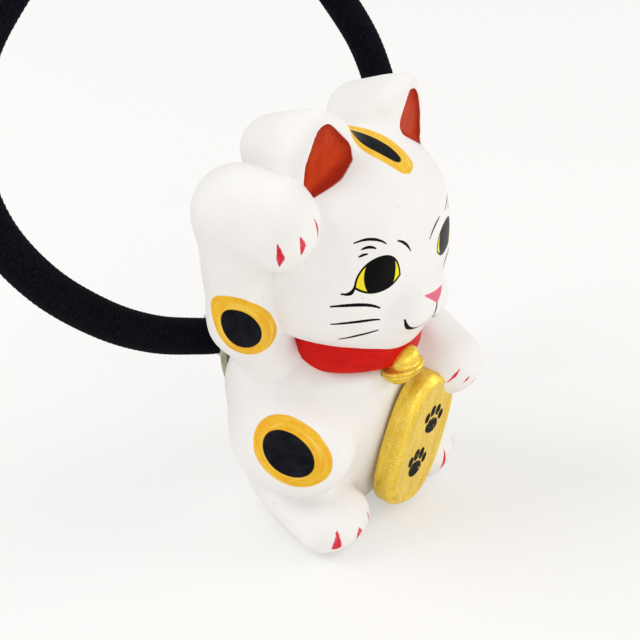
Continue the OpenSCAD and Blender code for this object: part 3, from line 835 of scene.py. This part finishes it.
def markHollow(piece):
    points = np.empty(len(piece.data.vertices) * 3, np.float32)
    piece.data.vertices.foreach_get("co", points)
    points = points.reshape(-1, 3) / mm
    edge = piece.data.attributes.new("hollowEdge", "FLOAT", "POINT")
    edge.data.foreach_set("value", hollowEdge(points).astype(np.float32))


pinholes = {"head": 0.3, "body": 0.4, "raised": 0.3, "plate": 0.2}
markHollow(whiteHead)
coat = startResin("headPaint", pinholes["head"])
paintHead(coat)
wear(whiteHead, finishResin(coat))
coat = startResin("bodyPaint", pinholes["body"])
paintSpot(coat, haunchSpot)
paintClaws(coat, claws["body"])
wear(whiteBody, finishResin(coat))
coat = startResin("raisedArmPaint", pinholes["raised"])
paintSpot(coat, elbowSpot)
paintClaws(coat, claws["raised"])
wear(raisedArm, finishResin(coat))
coat = startResin("plateArmPaint", pinholes["plate"])
paintClaws(coat, claws["plate"])
wear(plateArm, finishResin(coat))
print("white pieces painted")


# turned pieces: a profile of radius and height, spun round an axis
def spinProfile(profile, turns):
    angle = np.arange(turns) * 2 * math.pi / turns
    rows = np.array([[(r * math.cos(a), r * math.sin(a), z) for a in angle] for r, z in profile])
    return rows.reshape(-1, 3), ringFaces(len(profile), turns)


# frame whose third axis is the given one
def frameAlong(axis):
    third = np.array(axis, float) / np.linalg.norm(axis)
    first = np.cross((0, 1, 0), third)
    first /= np.linalg.norm(first)
    return np.stack([first, np.cross(third, first), third], 1)


# collar: a soft flat band round the neck, tucked under the jaw
collarBand = {
    "middle": (0, -1.7), "low": 19.6, "high": 23.6, "outer": 7.25, "inner": 5.4, "round": 0.75, "wide": 1.07,
    "turns": 96, "waveTop": 21, "wave": 0.06, "tuck": 0.1,
    "paint": (0.67, 0.011, 0.007, 1), "thinPaint": (0.55, 0.007, 0.005, 1),
}


def makeCollar(c):
    r, corner = c["outer"], c["round"]
    profile = [(c["inner"], c["low"] + c["tuck"])]
    for a in np.linspace(-90, 90, 19):  # rounded lower lip, swelling face and upper lip
        bulge = math.cos(math.radians(a))
        height = (c["low"] + c["high"]) / 2 + math.sin(math.radians(a)) * (c["high"] - c["low"]) / 2
        profile.append((r - corner * (1 - bulge**0.55), height))
    profile.append((c["inner"], c["high"] - c["tuck"]))
    profile.append(profile[0])
    points, faces = spinProfile(profile, c["turns"])
    turn = np.arctan2(points[:, 1], points[:, 0])
    points[:, 2] += c["wave"] * np.sin(5 * turn + 0.6) * (points[:, 2] < c["waveTop"])  # the lower lip is a little wavy
    points = points * (c["wide"], 1, 1) + (*c["middle"], 0)
    return weld(addMesh("red_collar", points * mm, faces, "cat", "red_vinyl", "collar"), 1e-7)


# bell: domed top over a raised band, with a smaller cup below and its slit; "skew" is its lean per mm of height
bellCast = {
    "middle": (-0.8, -8.65, 19.3), "axis": (-0.12, 0.17, 0.98), "skew": (0.2, -0.27, 0),
    "dome": 1.65, "top": 2.25, "knee": 0.85, "radius": 2.0, "band": 0.3, "bandHalf": 0.34,
    "cup": (1.9, 1.84), "cupDrop": 0.15, "slit": 0.22, "turns": 56,
}


def makeBell(b):
    r, dome, knee, rise = b["radius"], b["dome"], b["knee"], b["top"] - b["knee"]
    profile = [(0.001, b["top"])]
    for a in np.radians(range(80, -1, -8)):
        profile.append((dome * math.cos(a), knee + rise * math.sin(a)))
    h, out = b["bandHalf"], b["band"]
    profile += [(dome + 0.04, h + 0.2), (dome + 0.15, h + 0.05), (r + 0.02, h)]
    profile += [(r + out * wide, h * up) for wide, up in (
        (0.7, 0.9), (1, 0.45), (1, -0.1), (0.75, -0.4), (0.55, -0.5), (0.9, -0.8), (0.85, -1.4), (0.2, -1.7))]
    profile.append((r * 0.94, -h * 1.8))
    cup, deep = b["cup"]
    for a in np.radians(range(-26, -88, -8)):
        profile.append((cup * math.cos(a), deep * math.sin(a) - b["cupDrop"]))
    profile.append((0.001, -deep - b["cupDrop"]))
    points, faces = spinProfile(profile, b["turns"])
    # the slit and its round end are pressed into the lower cup
    lower = points[:, 2] < -h * 1.75
    slit = np.clip(1 - np.abs(points[:, 0]) / b["slit"], 0, 1) * (points[:, 1] < r * 0.6)
    hole = np.hypot(points[:, 0], points[:, 1] - r * 0.55)
    press = np.maximum(slit, np.clip(1 - hole / (b["slit"] * 1.9), 0, 1))
    points *= (1 - 0.16 * lower * np.clip(press * 1.8, 0, 1))[:, None]
    points = points @ frameAlong(b["axis"]).T + points[:, 2:] * b["skew"] + b["middle"]
    return weld(addMesh("gold_bell", points * mm, faces, "cat", "gold_vinyl", "bell"), 2e-6)


# oval coin plate: thick sides, a broad bevel and a flat face with a low worn rim
coinPlate = {
    "middle": (2.6, -8.4, 8.8), "tip": 7, "lean": 14, "width": 9.2, "height": 16.2, "thick": 2.8, "bevel": 0.75,
    "power": 0.75, "around": 160,
}


def ovalRing(width, height, power, around):
    a = np.arange(around) * 2 * math.pi / around
    return np.stack([
        np.sign(v) * np.abs(v)**power * size / 2 for v, size in ((np.cos(a), width), (np.sin(a), height))], 1)


def plateFrame(c):
    tip, lean = math.radians(c["tip"]), math.radians(c["lean"])
    aboutX = np.array([[1, 0, 0], [0, math.cos(tip), -math.sin(tip)], [0, math.sin(tip), math.cos(tip)]])
    aboutY = np.array([[math.cos(lean), 0, math.sin(lean)], [0, 1, 0], [-math.sin(lean), 0, math.cos(lean)]])
    stand = np.array([[1, 0, 0], [0, 0, -1], [0, 1, 0]])
    return aboutY @ aboutX @ stand


def makePlate(c):
    t, b = c["thick"] / 2, c["bevel"]
    # inset from the outline and height of each ring, back to front
    rings = [
        (0.5, -t), (0.12, -t + 0.08), (0, -t + 0.3), (0, t - b - 0.25), (0.06, t - b - 0.05), (0.2, t - b + 0.16),
        (b - 0.25, t - 0.2), (b - 0.02, t - 0.03), (b + 0.16, t), (b + 0.34, t - 0.04), (b + 0.5, t - 0.11),
        (b + 0.9, t - 0.12), (b + 1.8, t - 0.1)]
    n = c["around"]
    turn = np.arange(n) * 2 * math.pi / n
    wavy = 0.04 * np.sin(turn * 3 + 1) + 0.03 * np.sin(turn * 7)
    points = []
    for inset, height in rings:
        ring = ovalRing(c["width"] - 2 * inset, c["height"] - 2 * inset, c["power"], n)
        ring *= (1 - 0.12 * np.abs(wavy))[:, None]
        points += [(x, y, height) for x, y in ring]
    points = np.array(points) @ plateFrame(c).T + c["middle"]
    faces = ringFaces(len(rings), n, capped=True)
    return addMesh("oval_coin_plate", points * mm, faces, "cat", "gold_vinyl", "oval_plate")


redCollar = makeCollar(collarBand)
goldBell = makeBell(bellCast)
coinPlatePiece = makePlate(coinPlate)
print("collar, bell and plate made")


def collarPaint():
    material, tree, shader = newMaterial("collarPaint")
    place = placeInMm(tree)
    coat = useGroup(
        tree, brushPaint, Place=place, Drag=(0.5, 0.5, 2.4), Thick=collarBand["paint"], Thin=collarBand["thinPaint"])
    skin = useGroup(tree, resinSkin, Pinholes=0.0)
    tree.links.new(coat["Color"], shader.inputs["Base Color"])
    tree.links.new(rangeOf(tree, coat["Height"], 0.3, 0.7, 0.34, 0.46), shader.inputs["Roughness"])
    shader.inputs["Specular IOR Level"].default_value = 0.08
    bumpInto(tree, shader, calc(tree, "MULTIPLY_ADD", coat["Height"], 0.4, skin["Height"]), 0.35, 0.12)
    return material


def finishGold(tree, shader, flake, color, metal, rough):
    tree.links.new(color, shader.inputs["Base Color"])
    tree.links.new(rough, shader.inputs["Roughness"])
    feed(tree, shader.inputs["Metallic"], metal)
    skin = useGroup(tree, resinSkin, Pinholes=0.0)
    bumpInto(tree, shader, calc(tree, "MULTIPLY_ADD", flake["Height"], 0.3, skin["Height"]), 0.4, 0.14)


# two printed paw marks on the plate's face, on a chart of its own width and height
pawMarks = {
    "middles": [(0.45, 2.5), (-0.35, -2.7)], "pad": (0.0, -0.55, 1.25, 1.0),
    "toes": [(-1.35, 0.55, 0.48, 0.68), (-0.5, 1.25, 0.5, 0.75), (0.5, 1.25, 0.5, 0.75), (1.35, 0.55, 0.48, 0.68)],
    "ink": (0.011, 0.010, 0.009, 1),
}


def platePaint():
    material, tree, shader = newMaterial("platePaint")
    place = placeInMm(tree)
    turn = plateFrame(coinPlate)
    away = vectorCalc(tree, "SUBTRACT", place, coinPlate["middle"])
    chart = tree.nodes.new("ShaderNodeCombineXYZ")
    across, up, depth = [vectorCalc(tree, "DOT_PRODUCT", away, tuple(turn[:, i])) for i in range(3)]
    for socket, value in zip(chart.inputs, (across, up, depth)):
        tree.links.new(value, socket)
    chart = chart.outputs[0]
    flake = useGroup(
        tree, goldFlake, Place=place, Drawn=vectorCalc(tree, "MULTIPLY", chart, (1.6, 0.22, 1.6)), Flake=13.0)
    cover = None
    for mx, my in pawMarks["middles"]:
        for x, y, rx, ry in [pawMarks["pad"]] + pawMarks["toes"]:
            reach = useGroup(
                tree, paintOval, Place=chart, Middle=(mx + x, my + y, 0), Long=(1 / rx, 0, 0), Short=(0, 1 / ry, 0),
                Deep=(0, 0, 0), Wobble=0.3, Fullness=2.0)["Reach"]
            dab = rangeOf(tree, reach, 0.93, 1.03, 1, 0)
            cover = dab if cover is None else calc(tree, "MAXIMUM", cover, dab)
    cover = calc(tree, "MULTIPLY", cover, calc(tree, "GREATER_THAN", depth, coinPlate["thick"] / 2 - 0.3))
    worn = rangeOf(tree, noise(tree, place, 3.5, 3), 0.30, 0.36)
    cover = calc(tree, "MULTIPLY", cover, worn)
    color = mixColor(tree, cover, flake["Color"], pawMarks["ink"])
    metal = rangeOf(tree, cover, 0, 1, 0.5, 0.0)
    tree.links.new(rangeOf(tree, cover, 0, 1, 0.5, 0.06), shader.inputs["Specular IOR Level"])  # the ink is dull
    finishGold(tree, shader, flake, color, metal, rangeOf(tree, cover, 0, 1, flake["Rough"], 0.6))
    return material


def bellPaint():
    material, tree, shader = newMaterial("bellPaint")
    place = placeInMm(tree)
    flake = useGroup(tree, goldFlake, Place=place, Drawn=vectorCalc(tree, "SCALE", place, scale=0.8), Flake=11.0)
    finishGold(tree, shader, flake, flake["Color"], 0.72, flake["Rough"])
    return material


def yarnPaint():
    material, tree, shader = newMaterial("blackYarn")
    yarn = useGroup(tree, yarnCover, Place=placeInMm(tree))
    tree.links.new(yarn["Color"], shader.inputs["Base Color"])
    shader.inputs["Roughness"].default_value = 0.85
    shader.inputs["Specular IOR Level"].default_value = 0.04
    bumpInto(tree, shader, yarn["Height"], 0.6, 0.08)
    return material


def metalFinish(name, clean, dull):
    material, tree, shader = newMaterial(name)
    metal = useGroup(tree, drawnMetal, Clean=clean, Dull=dull)
    tree.links.new(metal["Color"], shader.inputs["Base Color"])
    tree.links.new(metal["Rough"], shader.inputs["Roughness"])
    shader.inputs["Metallic"].default_value = 0.9
    bumpInto(tree, shader, metal["Height"], 0.25, 0.04)
    return material


def glueFinish():
    material, tree, shader = newMaterial("driedGlue")
    place = placeInMm(tree)
    cloud = noise(tree, place, 1.1, 4)
    color = mixColor(tree, rangeOf(tree, cloud, 0.3, 0.7), (0.62, 0.58, 0.47, 1), (0.72, 0.70, 0.62, 1))
    tree.links.new(color, shader.inputs["Base Color"])
    tree.links.new(rangeOf(tree, cloud, 0.3, 0.7, 0.25, 0.4), shader.inputs["Roughness"])
    bumpInto(tree, shader, cloud, 0.4, 0.1)
    return material


wear(redCollar, collarPaint())
wear(goldBell, bellPaint())
wear(coinPlatePiece, platePaint())
wear(elasticBand, yarnPaint())
metalTones = {
    "olive": ((0.46, 0.44, 0.33, 1), (0.33, 0.315, 0.225, 1)),
    "nickel": ((0.60, 0.59, 0.57, 1), (0.42, 0.41, 0.40, 1)),
}
oliveMetal = metalFinish("oliveMetal", *metalTones["olive"])
for node in ("back_pad", "cord_bridge"):
    wear(cadNodes[node], oliveMetal)
wear(cadNodes["ferrule"], metalFinish("nickelFerrule", *metalTones["nickel"]))
wear(cadNodes["glue_pad"], glueFinish())
print("finishes set")

# plain pale floor and soft studio light
stage = {"size": 3.0, "tone": (0.88, 0.873, 0.86, 1), "glow": 0.42, "near": 140, "far": 700}


# 1 where the stage is looked at, straight or in a shine, and 0 where it only lights the cat
def whereShown(tree):
    path = tree.nodes.new("ShaderNodeLightPath").outputs
    mirrorRay = calc(tree, "MAXIMUM", path["Is Glossy Ray"], path["Is Transmission Ray"])
    return calc(tree, "MAXIMUM", path["Is Camera Ray"], mirrorRay)


def makeStage(s):
    half = s["size"] / 2
    mesh = bpy.data.meshes.new("studio_floor")
    mesh.from_pydata([(-half, -half, 0), (half, -half, 0), (half, half, 0), (-half, half, 0)], [], [(0, 1, 2, 3)])
    floor = addObject("studio_floor", mesh)
    material, tree, shader = newMaterial("paleFloor")
    shader.inputs["Base Color"].default_value = s["tone"]
    shader.inputs["Roughness"].default_value = 0.9
    shader.inputs["Specular IOR Level"].default_value = 0.1
    # seen straight or in a shine, part of the floor is plain white, and all of it far off
    white = tree.nodes.new("ShaderNodeEmission")
    blend = tree.nodes.new("ShaderNodeMixShader")
    distance = vectorCalc(tree, "LENGTH", placeInMm(tree))
    glow = rangeOf(tree, distance, s["near"], s["far"], s["glow"], 1)
    tree.links.new(calc(tree, "MULTIPLY", whereShown(tree), glow), blend.inputs[0])
    tree.links.new(shader.outputs[0], blend.inputs[1])
    tree.links.new(white.outputs[0], blend.inputs[2])
    tree.links.new(blend.outputs[0], tree.nodes["Material Output"].inputs["Surface"])
    mesh.materials.append(material)


lamps = {
    "window": {"place": (-0.35, 0.42, 0.55), "size": 0.5, "power": 2.5, "tint": (0.97, 0.985, 1)},
    "fill": {"place": (-0.45, -0.55, 0.35), "size": 0.6, "power": 0.95, "tint": (1, 0.97, 0.93)},
    "room": {"place": (0.45, -0.5, 0.4), "size": 0.6, "power": 1.75, "tint": (1, 0.99, 0.97)},
}


air = {"tint": (1, 0.978, 0.952, 1), "level": 0.66, "aim": (0, 0, 0.02)}


def makeLamps(kinds, a):
    for name, lamp in kinds.items():
        data = bpy.data.lights.new(name, "AREA")
        data.energy = lamp["power"]
        data.shape = "DISK"
        data.size = lamp["size"]
        data.color = lamp["tint"]
        light = addObject(name, data)
        light.location = lamp["place"]
        light.rotation_euler = (Vector(a["aim"]) - Vector(lamp["place"])).to_track_quat("-Z", "Y").to_euler()
    world = bpy.data.worlds.new("studioAir")
    scene.world = world
    world.use_nodes = True
    tree = world.node_tree
    background = tree.nodes["Background"]
    background.inputs["Color"].default_value = a["tint"]
    strength = calc(tree, "MULTIPLY_ADD", whereShown(tree), 1 - a["level"], a["level"])
    tree.links.new(strength, background.inputs["Strength"])


makeStage(stage)
makeLamps(lamps, air)
scene.view_settings.view_transform = "Standard"
print("stage lit")
